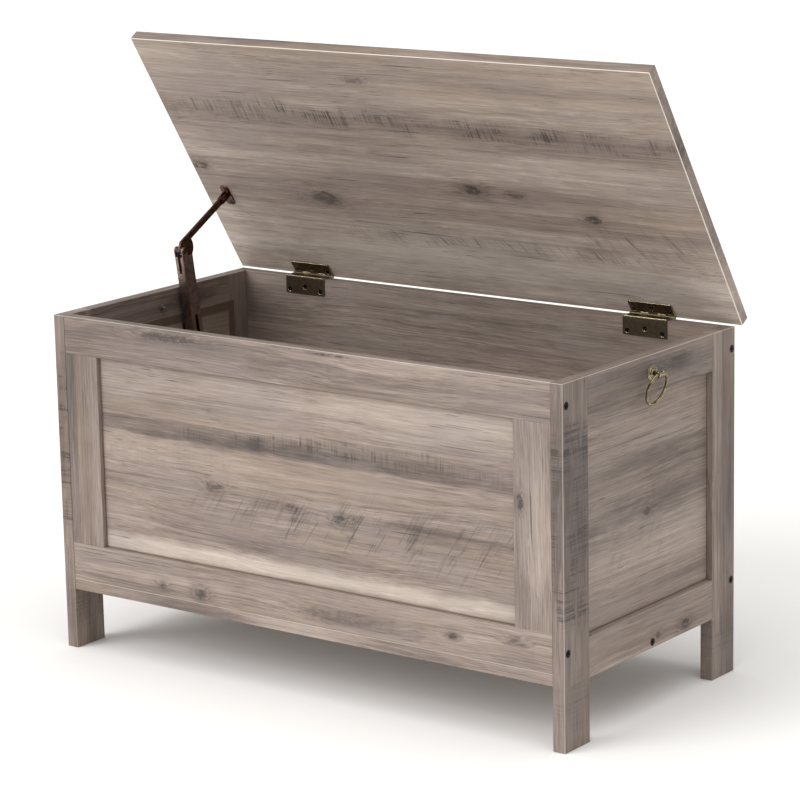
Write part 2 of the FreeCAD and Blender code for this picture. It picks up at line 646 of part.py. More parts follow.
def stay_arm():
    """Cranked flat arm with a cam lobe at its heel, drawn from the elbow pin."""
    reach = lid_pin_point() - ELBOW
    length = math.hypot(reach.y, reach.z)
    bar_angle = math.atan2(reach.z, reach.y) - math.asin(ARM_CRANK / length)
    bar_end = math.sqrt(length ** 2 - ARM_CRANK ** 2)
    half = ARM_WIDTH / 2
    bar_start = HEEL_CORNER[0] * math.cos(bar_angle) + HEEL_CORNER[1] * math.sin(bar_angle)
    side = ARM_THICK / 2
    bar = block((-side, bar_start, ARM_CRANK - half), (side, bar_end, ARM_CRANK + half))
    tip = rod(vec(-side, bar_end, ARM_CRANK), X_AXIS, half, ARM_THICK)
    straight = bar.fuse(tip)
    straight.rotate(vec(0, 0, 0), X_AXIS, math.degrees(bar_angle))

    def lobe_point(angle):
        turn = math.radians(angle)
        along = LOBE_CENTRE[0] + LOBE_RADIUS * math.cos(turn)
        return vec(0, along, LOBE_CENTRE[1] + LOBE_RADIUS * math.sin(turn))

    corner = vec(0, HEEL_CORNER[0], HEEL_CORNER[1])
    front = vec(0, -HEEL_RADIUS, 0)
    under = vec(0, 0, -HEEL_RADIUS)
    diagonal = -HEEL_RADIUS * math.sqrt(0.5)
    round_front = vec(0, diagonal, diagonal)
    edges = [
        Part.LineSegment(corner, front).toShape(),
        Part.Arc(front, round_front, under).toShape(),
        Part.LineSegment(under, lobe_point(LOBE_START)).toShape(),
        Part.Arc(lobe_point(LOBE_START), lobe_point(0), lobe_point(LOBE_END)).toShape(),
        Part.LineSegment(lobe_point(LOBE_END), corner).toShape(),
    ]
    heel = stay_slab(Part.Face(Part.Wire(edges)), 0, ARM_THICK)
    arm = fused([straight, heel])
    elbow_bore = rod(vec(-ARM_THICK, 0, 0), X_AXIS, ELBOW_PIN_RADIUS + PIN_PLAY, 2 * ARM_THICK)
    lid_start = vec(-ARM_THICK, reach.y, reach.z)
    lid_bore = rod(lid_start, X_AXIS, LID_PIN_RADIUS + PIN_PLAY, 2 * ARM_THICK)
    arm = cut_all(arm, [elbow_bore, lid_bore])
    arm.translate(ELBOW)
    return arm


def in_channel(shape):
    """Move a piece drawn upright about the elbow pin to the leaning channel."""
    placed = shape.copy()
    placed.rotate(vec(0, 0, 0), X_AXIS, CHANNEL_TILT)
    placed.translate(ELBOW)
    return placed


def stay_channel():
    """Square tube with ears for the elbow pin, fold slots and a long base slot."""
    half = CHANNEL_WIDTH / 2
    inner = half - CHANNEL_WALL
    over = TOOL_OVERRUN
    low = (-half, -CHANNEL_FRONT, -CHANNEL_BOTTOM)
    shapes = [block(low, (half, CHANNEL_REAR, -CHANNEL_TOP), BOARD_EASE)]
    for left in (-half, inner):
        right = left + CHANNEL_WALL
        shapes.append(rod(vec(left, 0, 0), X_AXIS, CHANNEL_FRONT, CHANNEL_WALL))
        shapes.append(block((left, -CHANNEL_FRONT, -CHANNEL_TOP - over), (right, CHANNEL_FRONT, 0)))
    front_inner = -CHANNEL_FRONT + CHANNEL_WALL
    rear_inner = CHANNEL_REAR - CHANNEL_WALL
    top = -CHANNEL_TOP + over
    slot = FOLD_SLOT_HALF
    tools = [
        block((-inner, front_inner, -CHANNEL_BOTTOM - over), (inner, rear_inner, top)),
        block((-slot, -CHANNEL_FRONT - over, -FRONT_SLOT_END), (slot, 0, top)),
        block((-slot, rear_inner - over, -REAR_SLOT_END), (slot, CHANNEL_REAR + over, top)),
    ]
    cross = 2 * CHANNEL_WIDTH
    start = -CHANNEL_WIDTH
    tools.append(rod(vec(start, 0, 0), X_AXIS, ELBOW_PIN_RADIUS + PIN_PLAY, cross))
    slot_half = BASE_PIN_RADIUS + BASE_SLOT_PLAY
    slot_top = -BASE_PIN_BELOW + SLIDE_UP
    slot_low = -BASE_PIN_BELOW - SLIDE_DOWN
    slot_front = (start, CHANNEL_MIDDLE - slot_half, slot_low)
    tools.append(block(slot_front, (-start, CHANNEL_MIDDLE + slot_half, slot_top)))
    for z in (slot_low, slot_top):
        tools.append(rod(vec(start, CHANNEL_MIDDLE, z), X_AXIS, slot_half, cross))
    return in_channel(cut_all(fused(shapes), tools))


def headed_pin(centre, radius, head_radius, low_x, high_x):
    """Rivet along X, with a head outside each end."""
    shapes = [rod(vec(low_x, centre.y, centre.z), X_AXIS, radius, high_x - low_x)]
    for x in (low_x - STAY_HEAD_THICK, high_x):
        shapes.append(rod(vec(x, centre.y, centre.z), X_AXIS, head_radius, STAY_HEAD_THICK))
    return fused(shapes)


def elbow_washers():
    """Friction washers that fill the space between the ears and the arm."""
    half = CHANNEL_WIDTH / 2
    inner = half - CHANNEL_WALL
    thick = inner - ARM_THICK / 2 - STAY_SIDE_GAP
    bore = rod(vec(-half, 0, 0), X_AXIS, ELBOW_PIN_RADIUS + PIN_PLAY, CHANNEL_WIDTH)
    washers = []
    for start in (-inner, inner - thick):
        washer = rod(vec(start, 0, 0), X_AXIS, ELBOW_WASHER_RADIUS, thick)
        washers.append(washer.cut(bore))
    return in_channel(Part.makeCompound(washers))


def stay_spring():
    helix = Part.makeHelix(SPRING_PITCH, SPRING_BOTTOM - SPRING_TOP, SPRING_RADIUS)
    section = Part.Wire(Part.makeCircle(SPRING_WIRE, vec(SPRING_RADIUS, 0, 0), Y_AXIS))
    coil = Part.Wire(helix.Edges).makePipeShell([section], True, True)
    coil.translate(vec(0, CHANNEL_MIDDLE, -SPRING_BOTTOM))
    return in_channel(coil)


def spring_seats():
    half = CHANNEL_WIDTH / 2 - CHANNEL_WALL - SEAT_PLAY
    front = -CHANNEL_FRONT + CHANNEL_WALL + SEAT_PLAY
    rear = CHANNEL_REAR - CHANNEL_WALL - SEAT_PLAY
    room = SPRING_WIRE + SEAT_PLAY
    lows = (-SPRING_TOP + room, -SPRING_BOTTOM - room - SEAT_THICK)
    seats = [block((-half, front, z), (half, rear, z + SEAT_THICK)) for z in lows]
    return in_channel(Part.makeCompound(seats))


def lid_foot():
    """Plate on the lid with two clevis ears for the arm, in the closed pose."""
    left = STAY_X - ARM_THICK / 2 - STAY_SIDE_GAP - STAY_PLATE_THICK - FOOT_LEFT
    middle = FOOT_Y + FOOT_BACK_SHIFT
    low = LID_UNDER - STAY_PLATE_THICK
    front = middle - FOOT_LENGTH / 2
    plate = block((left, front, low), (left + FOOT_WIDTH, front + FOOT_LENGTH, LID_UNDER))
    shapes = [plate.makeFillet(STAY_CORNER, edges_along(plate, "Z"))]
    gap = ARM_THICK / 2 + STAY_SIDE_GAP
    ear_front = FOOT_Y - ARM_WIDTH / 2
    for start in (STAY_X - gap - STAY_PLATE_THICK, STAY_X + gap):
        low_corner = (start, ear_front, FOOT_Z - FOOT_TIP)
        high_corner = (start + STAY_PLATE_THICK, ear_front + ARM_WIDTH, LID_UNDER)
        shapes.append(block(low_corner, high_corner))
    bore_start = vec(STAY_X - FOOT_WIDTH, FOOT_Y, FOOT_Z)
    bore = rod(bore_start, X_AXIS, LID_PIN_RADIUS + PIN_PLAY, 2 * FOOT_WIDTH)
    tools = [bore] + [screw_hole(LONG_SCREW, at, -Z_AXIS) for at in foot_screw_points()]
    return opened(cut_all(fused(shapes), tools))


def base_bracket():
    pin = base_pin_point()
    wall = -INNER_X
    low = (wall, pin.y - BASE_PLATE_WIDTH / 2, pin.z - BASE_PLATE_HEIGHT / 2)
    high = (wall + STAY_PLATE_THICK, low[1] + BASE_PLATE_WIDTH, low[2] + BASE_PLATE_HEIGHT)
    plate = block(low, high)
    plate = plate.makeFillet(STAY_CORNER, edges_along(plate, "X"))
    boss_end = STAY_X - CHANNEL_WIDTH / 2 - STAY_SIDE_GAP
    boss = rod(vec(wall, pin.y, pin.z), X_AXIS, BASE_BOSS_RADIUS, boss_end - wall)
    bore_start = vec(wall - TOOL_OVERRUN, pin.y, pin.z)
    tools = [rod(bore_start, X_AXIS, BASE_PIN_RADIUS + PIN_PLAY, 2 * STAY_WALL_GAP)]
    tools += [screw_hole(SHORT_SCREW, at, X_AXIS) for at in base_screw_points()]
    return cut_all(fused([plate, boss]), tools)


def base_pin():
    """Shoulder pin fixed in the bracket, with one head outside the channel."""
    pin = base_pin_point()
    outer = STAY_X + CHANNEL_WIDTH / 2 + STAY_SIDE_GAP
    shaft = rod(vec(-INNER_X, pin.y, pin.z), X_AXIS, BASE_PIN_RADIUS, outer + INNER_X)
    head = rod(vec(outer, pin.y, pin.z), X_AXIS, BASE_BOSS_RADIUS, STAY_HEAD_THICK)
    return fused([shaft, head])


def add_stay(nodes):
    half = CHANNEL_WIDTH / 2
    gap = ARM_THICK / 2 + STAY_SIDE_GAP + STAY_PLATE_THICK
    elbow = (ELBOW, ELBOW_PIN_RADIUS, ELBOW_HEAD_RADIUS)
    lid_end = (lid_pin_point(), LID_PIN_RADIUS, LID_PIN_HEAD)
    base_screws = [cross_screw(SHORT_SCREW, at, X_AXIS) for at in base_screw_points()]
    foot_screws = [opened(cross_screw(LONG_SCREW, at, -Z_AXIS)) for at in foot_screw_points()]
    nodes["stay_arm"] = stay_arm()
    nodes["stay_channel"] = stay_channel()
    nodes["stay_elbow_pin"] = headed_pin(*elbow, STAY_X - half, STAY_X + half)
    nodes["stay_elbow_washers"] = elbow_washers()
    nodes["stay_spring"] = stay_spring()
    nodes["stay_spring_seats"] = spring_seats()
    nodes["stay_base_bracket"] = base_bracket()
    nodes["stay_base_pin"] = base_pin()
    nodes["stay_base_screws"] = Part.makeCompound(base_screws)
    nodes["stay_lid_foot"] = lid_foot()
    nodes["stay_lid_pin"] = headed_pin(*lid_end, STAY_X - gap, STAY_X + gap)
    nodes["stay_lid_screws"] = Part.makeCompound(foot_screws)


def build():
    nodes = {}
    add_sides(nodes)
    add_front(nodes)
    add_back_and_bottom(nodes)
    add_lid(nodes)
    add_hinges(nodes)
    add_rings(nodes)
    add_stay(nodes)
    return nodes


def main():
    nodes = build()
    os.makedirs("parts", exist_ok=True)
    front = min(shape.BoundBox.YMin for shape in nodes.values())
    rear = max(shape.BoundBox.YMax for shape in nodes.values())
    to_origin = vec(0, -(front + rear) / 2, 0)
    print("shift in Y to centre the open footprint: %.3f mm" % to_origin.y)
    for name, shape in nodes.items():
        placed = shape.copy()
        placed.translate(to_origin)
        solids = len(placed.Solids)
        print("%-24s solids %2d valid %s volume %.0f" % (name, solids, placed.isValid(), placed.Volume))
        placed.exportStep("parts/" + name + ".step")


main()
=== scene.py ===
"""Visual model of the wooden toy box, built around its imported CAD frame. Metres."""

import math

import bpy
from mathutils import Matrix, Vector


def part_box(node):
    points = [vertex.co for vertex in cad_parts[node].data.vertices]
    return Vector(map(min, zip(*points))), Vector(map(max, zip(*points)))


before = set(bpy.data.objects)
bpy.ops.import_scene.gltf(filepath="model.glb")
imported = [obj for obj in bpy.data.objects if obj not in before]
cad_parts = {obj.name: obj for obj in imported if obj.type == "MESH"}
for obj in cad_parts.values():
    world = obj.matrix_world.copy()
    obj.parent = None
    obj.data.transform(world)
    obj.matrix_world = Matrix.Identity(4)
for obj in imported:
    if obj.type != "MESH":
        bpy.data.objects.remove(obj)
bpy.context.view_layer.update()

# ---- Boards: printed wood-grain laminate ----
LAMINATE_SPECULAR = 0.35
GRAIN_BUMP = 0.00012
EDGE_LINE = 0.0010          # width of the pale line on a board's edge: partly where its foil is cut, partly a painted highlight
LID_LINE = 0.0014           # the lid's pale edge line, cut foil and painted highlight, stands out more
LID_LINE_STRENGTH = 0.95
LID_BAND = 0.22             # how much darker the lid's edge faces are
SLANT_ANGLE = 57            # band saw strokes to the grain, degrees
SLANT_PITCH = 0.027
SEAM_SHADE = 0.0030         # dark line on a panel along its frame: painted shade in the recess, with a dark joint line
FOIL = 0.0004               # points this near a face are on it

# ---- Metals ----
FOLD_HIGHLIGHT = 0.0024           # painted highlight: a bright band along a hinge leaf's fold
SPECK_SCALE = 1500.0
METAL_BUMP = 0.00004

# ---- Floor, camera and light ----
FLOOR_HALF = 60.0
FLOOR_DROP = 0.0002         # floor below the feet, so that no two faces coincide
CAMERA_AT = (2.349, -3.1237, 1.2334)
CAMERA_YAW = 0.6427
CAMERA_PITCH = 0.2248
CAMERA_ROLL = -0.0203
CAMERA_LENS = 141.8
CAMERA_SENSOR = 36.0
CAMERA_REACH = 200.0
SKY_COLOUR = (1.0, 0.99, 0.98, 1.0)
SKY_STRENGTH = 0.60
# name, direction that the light comes from, strength, angle that it fills in degrees
LIGHTS = (
    ("key", (-0.42, -0.80, 0.46), 1.65, 40),
    ("top", (0.10, -0.25, 1.00), 1.35, 70),
)


# ---- Node helpers ----
class Graph:
    """A node tree with short names for what the materials need."""

    def __init__(self, tree):
        self.tree = tree

    def node(self, kind, **settings):
        made = self.tree.nodes.new(kind)
        for name, value in settings.items():
            setattr(made, name, value)
        return made

    def put(self, socket, value):
        """Link a socket to another one, or set its value."""
        if isinstance(value, bpy.types.NodeSocket):
            self.tree.links.new(value, socket)
        else:
            socket.default_value = value

    def math(self, operation, *values, clamp=False):
        made = self.node("ShaderNodeMath", operation=operation, use_clamp=clamp)
        for socket, value in zip(made.inputs, values):
            self.put(socket, value)
        return made.outputs[0]

    def plus(self, total, *others):
        for other in others:
            total = self.math("ADD", total, other)
        return total

    def times(self, first, second):
        return self.math("MULTIPLY", first, second)

    def vector(self, operation, *values):
        made = self.node("ShaderNodeVectorMath", operation=operation)
        for socket, value in zip(made.inputs, values):
            self.put(socket, value)
        one_number = operation in ("DOT_PRODUCT", "LENGTH")
        return made.outputs["Value" if one_number else "Vector"]

    def ramp(self, value, low, high, start=0.0, end=1.0):
        """Map value from low..high to start..end, clamped and smooth at both ends."""
        made = self.node("ShaderNodeMapRange", interpolation_type="SMOOTHSTEP")
        for name, given in (("Value", value), ("From Min", low), ("From Max", high),
                            ("To Min", start), ("To Max", end)):
            self.put(made.inputs[name], given)
        return made.outputs["Result"]

    def noise(self, place, scale, shift=(0.0, 0.0, 0.0), detail=2.0, rough=0.55):
        """Noise with its own scale along each axis, and shifted away from other noises."""
        stretched = self.vector("ADD", self.vector("MULTIPLY", place, scale), shift)
        made = self.node("ShaderNodeTexNoise")
        for name, given in (("Vector", stretched), ("Scale", 1.0), ("Detail", detail),
                            ("Roughness", rough)):
            self.put(made.inputs[name], given)
        return made.outputs["Fac"]

    def swing(self, value, size):
        """A noise value swung about zero."""
        return self.times(self.math("SUBTRACT", value, 0.5), size)

    def mix(self, share, first, second):
        made = self.node("ShaderNodeMix", data_type="RGBA")
        self.put(made.inputs["Factor"], share)
        self.put(made.inputs[6], first)
        self.put(made.inputs[7], second)
        return made.outputs[2]

    def colours(self, value, stops):
        made = self.node("ShaderNodeValToRGB")
        elements = made.color_ramp.elements
        while len(elements) < len(stops):
            elements.new(0.5)
        for element, (place, colour) in zip(elements, stops):
            element.position = place
            element.color = colour
        self.put(made.inputs["Fac"], value)
        return made.outputs["Color"]

    def join(self, x, y, z):
        made = self.node("ShaderNodeCombineXYZ")
        for socket, value in zip(made.inputs, (x, y, z)):
            self.put(socket, value)
        return made.outputs[0]

    def split(self, place):
        made = self.node("ShaderNodeSeparateXYZ")
        self.put(made.inputs[0], place)
        return made.outputs

    def bump(self, height, distance, normal=None):
        made = self.node("ShaderNodeBump")
        made.inputs["Strength"].default_value = 1.0
        made.inputs["Distance"].default_value = distance
        self.put(made.inputs["Height"], height)
        if normal:
            self.put(made.inputs["Normal"], normal)
        return made.outputs["Normal"]


def tint(red, green, blue):
    """An sRGB colour of 0 to 255 as Blender's linear colour."""
    def linear(part):
        part = part / 255
        return part / 12.92 if part <= 0.04045 else ((part + 0.055) / 1.055) ** 2.4
    return (linear(red), linear(green), linear(blue), 1.0)


def new_material(name):
    material = bpy.data.materials.new(name)
    material.use_nodes = True
    graph = Graph(material.node_tree)
    shader = material.node_tree.nodes["Principled BSDF"]
    return material, graph, shader


# ---- Laminate node group ----
WOOD_TONES = (
    (0.00, tint(82, 73, 69)),
    (0.28, tint(116, 103, 95)),
    (0.50, tint(146, 131, 121)),
    (0.75, tint(174, 159, 147)),
    (1.00, tint(204, 192, 179)),
)
GREY_WOOD = tint(128, 118, 115)
WARM_WOOD = tint(154, 134, 116)
WHITEWASH = tint(206, 195, 186)
DARK_MARK = tint(72, 65, 62)
# painted shade in a panel's recess along its frame, with a dark joint line
SEAM_AND_SHADE_COLOUR = tint(92, 74, 60)
# pale line on chosen board edges: partly cut foil, partly a painted highlight
FOIL_AND_HIGHLIGHT = tint(236, 228, 216)
MASKS = ("Saw", "Slant", "Dark", "Light", "Knot", "Rings", "Seam", "Edge")


def bent_grain(g, source):
    """Board coordinates whose grain wanders slowly across the board, and bends round knots."""
    place = source["Place"]
    wander = g.noise(place, (2.0, 7.0, 7.0))
    ripple = g.noise(place, (9.0, 26.0, 26.0), (7.0, 1.0, 2.0))
    shift = g.plus(g.swing(wander, 0.030), g.swing(ripple, 0.0035), g.times(source["Rings"], 0.005))
    return g.vector("ADD", place, g.join(0.0, shift, shift))


def grain_colour(g, source, grain, streak, fibre, blotch):
    """Clean wood: bands, streaks and fibres from dark to light, with grey and warm patches."""
    broad = g.noise(grain, (1.1, 13.0, 13.0), (3.1, 0.4, 0.0), 2.0, 0.5)
    zone = g.ramp(g.noise(grain, (0.5, 15.0, 15.0), (6.0, 2.3, 4.0), 1.0), 0.47, 0.53)
    line = g.noise(grain, (5.0, 470.0, 470.0), (4.0, 2.0, 7.0), 2.0, 0.5)
    tone = g.plus(source["Tone"], 0.50, g.swing(broad, 0.64), g.swing(zone, 0.12),
                  g.swing(streak, 0.60), g.swing(line, 0.42), g.swing(fibre, 0.60),
                  g.swing(blotch, 0.32), g.times(source["Light"], 0.17))
    tone = g.math("SUBTRACT", tone, g.times(source["Dark"], 0.20))
    wood = g.colours(tone, WOOD_TONES)
    wood = g.mix(g.times(g.ramp(blotch, 0.46, 0.62), 0.35), wood, GREY_WOOD)
    warm = g.noise(grain, (1.8, 24.0, 24.0), (4.0, 1.0, 8.0), 3.0, 0.6)
    wood = g.mix(g.times(g.ramp(warm, 0.50, 0.66), 0.28), wood, WARM_WOOD)
    return g.mix(g.times(source["Light"], 0.22), wood, WHITEWASH)


def pores_and_cracks(g, place, grain, blotch):
    """Short dark pores in patches, and longer cracks that follow the grain."""
    pores = g.ramp(g.noise(grain, (38.0, 760.0, 760.0), (1.0, 3.0, 9.0), 2.0, 0.6), 0.58, 0.68)
    patches = g.ramp(g.noise(place, (10.0, 24.0, 24.0), (6.0, 6.0, 1.0), 3.0), 0.48, 0.66)
    pores = g.times(pores, g.plus(g.times(patches, 0.75), 0.20))
    cracks = g.noise(grain, (6.5, 430.0, 430.0), (8.0, 1.0, 4.0), 1.0)
    cracks = g.times(g.ramp(cracks, 0.68, 0.73), g.ramp(blotch, 0.46, 0.56))
    return g.plus(g.times(pores, 0.60), g.times(cracks, 0.80))


def saw_ladders(g, source, place):
    """Short lines across the grain, fine ones and coarse ones, in ladders."""
    fine = g.ramp(g.noise(place, (540.0, 12.0, 12.0), (2.0, 5.0, 0.0), 1.0), 0.48, 0.62)
    coarse = g.ramp(g.noise(place, (210.0, 8.0, 8.0), (8.0, 3.0, 6.0)), 0.53, 0.66)
    ends = g.ramp(g.noise(place, (22.0, 60.0, 60.0), (5.0, 0.0, 3.0), 3.0, 0.6), 0.38, 0.58)
    ladders = g.plus(g.times(fine, 0.50), g.times(coarse, 0.62))
    return g.times(g.times(ladders, ends), source["Saw"])


def slanted_strokes(g, source, place):
    """Strokes of a band saw: straight bold lines, with hatched soot between them.
    Lean is 1 or -1, for the way that they slant."""
    leaning = g.vector("MULTIPLY", place, g.join(source["Lean"], 1.0, 1.0))
    turn = g.node("ShaderNodeVectorRotate", rotation_type="Z_AXIS")
    g.put(turn.inputs["Vector"], leaning)
    turn.inputs["Angle"].default_value = math.radians(-SLANT_ANGLE)
    turned = turn.outputs[0]
    step = g.split(turned)[1]
    uneven = g.noise(turned, (2.5, 24.0, 0.0), detail=1.0)
    strokes = g.plus(g.math("DIVIDE", step, SLANT_PITCH), g.swing(uneven, 2.2))
    strokes = g.ramp(g.math("FRACT", strokes), 0.075, 0.0)
    torn = g.noise(place, (16.0, 24.0, 24.0), (3.0, 8.0, 0.0), 3.0, 0.6)
    strokes = g.times(strokes, g.ramp(torn, 0.44, 0.53))
    hatch = g.noise(turned, (17.0, 330.0, 0.0), (1.0, 6.0, 0.0), 3.0, 0.6)
    smear = g.noise(turned, (15.0, 34.0, 0.0), (5.0, 2.0, 0.0), 3.0, 0.65)
    hatch = g.times(g.ramp(hatch, 0.40, 0.66), g.ramp(smear, 0.46, 0.62))
    return g.times(g.plus(g.times(strokes, 0.80), g.times(hatch, 0.62)), source["Slant"])


def laminate_group():
    """Wood print from board coordinates: x along the grain, y across, z through.
    The masks say where each kind of mark is."""
    tree = bpy.data.node_groups.new("laminate_print", "ShaderNodeTree")
    face = tree.interface
    face.new_socket("Place", in_out="INPUT", socket_type="NodeSocketVector")
    for name in ("Tone", "Lean") + MASKS:
        face.new_socket(name, in_out="INPUT", socket_type="NodeSocketFloat")
    face.new_socket("Colour", in_out="OUTPUT", socket_type="NodeSocketColor")
    for name in ("Roughness", "Height"):
        face.new_socket(name, in_out="OUTPUT", socket_type="NodeSocketFloat")
    g = Graph(tree)
    source = g.node("NodeGroupInput").outputs
    place = source["Place"]

    grain = bent_grain(g, source)
    streak = g.noise(grain, (3.2, 150.0, 150.0), (0.0, 7.0, 2.0), 4.0, 0.62)
    fibre = g.noise(grain, (24.0, 820.0, 820.0), detail=2.0, rough=0.65)
    blotch = g.noise(place, (7.0, 17.0, 17.0), (9.0, 2.0, 5.0), 4.0, 0.65)
    wood = grain_colour(g, source, grain, streak, fibre, blotch)

    saw = g.times(saw_ladders(g, source, place), 0.85)
    soot = g.times(g.ramp(streak, 0.35, 0.70), g.times(source["Saw"], 0.40))
    dark = g.plus(pores_and_cracks(g, place, grain, blotch), saw, soot,
                  slanted_strokes(g, source, place))
    ragged = g.noise(place, (90.0, 240.0, 240.0), detail=3.0, rough=0.7)
    knot = g.times(source["Knot"], g.ramp(ragged, 0.36, 0.58, 0.25, 1.25))
    dark = g.math("ADD", dark, knot, clamp=True)
    wood = g.mix(g.times(dark, 0.90), wood, DARK_MARK)
    # painted shade and a dark joint line along a panel's frame
    wood = g.mix(source["Seam"], wood, SEAM_AND_SHADE_COLOUR)
    # pale edge line: partly cut foil, partly a painted highlight
    wood = g.mix(source["Edge"], wood, FOIL_AND_HIGHLIGHT)

    sink = g.node("NodeGroupOutput")
    g.put(sink.inputs["Colour"], wood)
    g.put(sink.inputs["Roughness"], g.plus(g.times(fibre, 0.20), 0.42, g.times(dark, 0.10)))
    g.put(sink.inputs["Height"], g.math("SUBTRACT", g.times(fibre, 0.6), g.times(dark, 0.9)))
    return tree


LAMINATE = laminate_group()
AXES = {"x": Vector((1, 0, 0)), "y": Vector((0, 1, 0)), "z": Vector((0, 0, 1))}


def masks_of(g, place, marks):
    """Sum the elliptic patches of each kind: (kind, x, y, half x, half y, strength).
    Their outlines are uneven, and a knot also bends the grain and has a dark halo."""
    uneven = g.swing(g.noise(place, (16.0, 46.0, 46.0), (2.0, 9.0, 1.0), 3.0, 0.6), 1.1)
    rugged = g.swing(g.noise(place, (90.0, 160.0, 160.0), (7.0, 4.0, 3.0), 2.0, 0.6), 1.3)
    sums = {}
    for kind, x, y, half_x, half_y, strength in marks:
        away = g.vector("SUBTRACT", place, (x, y, 0.0))
        away = g.vector("LENGTH", g.vector("MULTIPLY", away, (1 / half_x, 1 / half_y, 0.0)))
        if kind == "Knot":
            patches = (("Rings", g.ramp(away, 2.2, 0.3)),
                       ("Dark", g.ramp(g.plus(away, uneven), 3.0, 0.6, 0.0, strength * 0.8)),
                       ("Knot", g.ramp(g.plus(away, rugged), 1.10, 0.55, 0.0, strength)))
        else:
            patches = ((kind, g.ramp(g.plus(away, uneven), 1.05, 0.30, 0.0, strength)),)
        for name, patch in patches:
            sums[name] = g.plus(sums[name], patch) if name in sums else patch
    return sums


def laminate(name, origin, along, across, size, seed, marks=(), lines=(), tone=0.0,
             line_width=EDGE_LINE, line_strength=0.34, lean=1.0, lap=0.0, band=0.0):
    """Laminate of one board. origin is a corner of the board, along and across are unit
    vectors, size is (along, across, through), and marks are in metres from origin.
    lines are pairs of outward face directions, for the edges where a pale line shows: partly cut foil,
    partly a painted highlight on the eased edge. lap is how far the board's rim is hidden under its
    frame;
    a painted shade with a dark joint line runs just inside it. band is how much darker its four edge
    faces are."""
    material, g, shader = new_material(name)
    through = along.cross(across)
    world = g.node("ShaderNodeTexCoord").outputs["Object"]
    local = g.vector("SUBTRACT", world, tuple(origin))
    place = g.join(*[g.vector("DOT_PRODUCT", local, tuple(axis)) for axis in (along, across, through)])
    far = origin + along * size[0] + across * size[1] + through * size[2]

    def inside(normal):
        """How far a point is inside the face that looks along normal."""
        reach = max(normal.dot(origin), normal.dot(far))
        return g.math("SUBTRACT", reach, g.vector("DOT_PRODUCT", world, tuple(normal)))

    group = g.node("ShaderNodeGroup", node_tree=LAMINATE)
    # pale lines on the chosen edges: partly cut foil, partly a painted highlight on the eased edge
    pale = 0.0
    for first, second in lines:
        corner = g.math("MAXIMUM", inside(first), inside(second))
        line = g.ramp(corner, line_width, line_width / 2, 0.0, line_strength)
        pale = g.math("MAXIMUM", pale, line)
    g.put(group.inputs["Edge"], pale)
    rim = g.math("MINIMUM", g.math("MINIMUM", inside(along), inside(-along)),
                 g.math("MINIMUM", inside(across), inside(-across)))
    # painted shade on a panel's rim just inside its frame, with a dark joint line
    if lap > 0:
        g.put(group.inputs["Seam"], g.ramp(rim, lap + SEAM_SHADE, lap + SEAM_SHADE / 10, 0.0, 0.85))
    if band > 0:
        tone = g.math("SUBTRACT", tone, g.times(g.math("LESS_THAN", rim, FOIL), band))
    # the seed moves the noises, so that no two boards have the same print
    g.put(group.inputs["Place"], g.vector("ADD", place, (seed * 1.37, seed * 0.83, seed * 0.41)))
    g.put(group.inputs["Tone"], tone)
    g.put(group.inputs["Lean"], lean)
    for kind, mask in masks_of(g, place, marks).items():
        g.put(group.inputs[kind], mask)
    g.put(shader.inputs["Base Color"], group.outputs["Colour"])
    g.put(shader.inputs["Roughness"], group.outputs["Roughness"])
    shader.inputs["Specular IOR Level"].default_value = LAMINATE_SPECULAR
    g.put(shader.inputs["Normal"], g.bump(group.outputs["Height"], GRAIN_BUMP))
    return material


def dress(node, material):
    """Put one material on a whole CAD node."""
    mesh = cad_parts[node].data
    mesh.materials.clear()
    mesh.materials.append(material)
    for face in mesh.polygons:
        face.material_index = 0


def facing(name):
    """Unit vector of a face named by its sign and axis, such as -y."""
    return AXES[name[1]] * (-1 if name[0] == "-" else 1)


def board(node, along, across, seed, marks=(), lines=(), **look):
    """Laminate on an axis-aligned CAD board. Marks are in metres from its low corner,
    and a line is named by the two faces that meet there, such as "-y+z"."""
    low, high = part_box(node)
    span = high - low
    first, second = AXES[along], AXES[across]
    third = first.cross(second)
    corner = Vector([high[i] if third[i] < 0 else low[i] for i in range(3)])
    size = [abs(span.dot(axis)) for axis in (first, second, third)]
    pairs = [(facing(line[:2]), facing(line[2:])) for line in lines]
    dress(node, laminate("laminate_" + node, corner, first, second, size, seed, marks, pairs, **look))


# ---- Boards ----
# Marks: kind, middle along and across the board, half length and half width, strength.
FRONT_PANEL_MARKS = (
    ("Light", 0.10, 0.228, 0.42, 0.046, 0.25),
    ("Light", 0.52, 0.238, 0.24, 0.044, 0.45),
    ("Dark", 0.08, 0.180, 0.22, 0.020, 1.00),
    ("Dark", 0.26, 0.172, 0.28, 0.016, 0.75),
    ("Saw", 0.24, 0.180, 0.16, 0.014, 0.80),
    ("Saw", 0.46, 0.186, 0.24, 0.018, 1.00),
    ("Dark", 0.48, 0.178, 0.22, 0.014, 0.75),
    ("Knot", 0.265, 0.178, 0.011, 0.005, 0.70),
    ("Knot", 0.196, 0.116, 0.016, 0.007, 0.60),
    ("Knot", 0.320, 0.104, 0.013, 0.006, 0.55),
    ("Knot", 0.395, 0.100, 0.012, 0.007, 0.60),
    ("Slant", 0.50, 0.092, 0.25, 0.050, 1.15),
    ("Slant", 0.27, 0.088, 0.16, 0.040, 0.60),
    ("Dark", 0.54, 0.094, 0.17, 0.030, 0.55),
    ("Dark", 0.22, 0.060, 0.16, 0.022, 0.50),
    ("Light", 0.33, 0.022, 0.60, 0.016, 1.50),
    ("Dark", 0.40, 0.046, 0.34, 0.009, 0.45),
    ("Saw", 0.12, 0.140, 0.14, 0.030, 0.25),
)
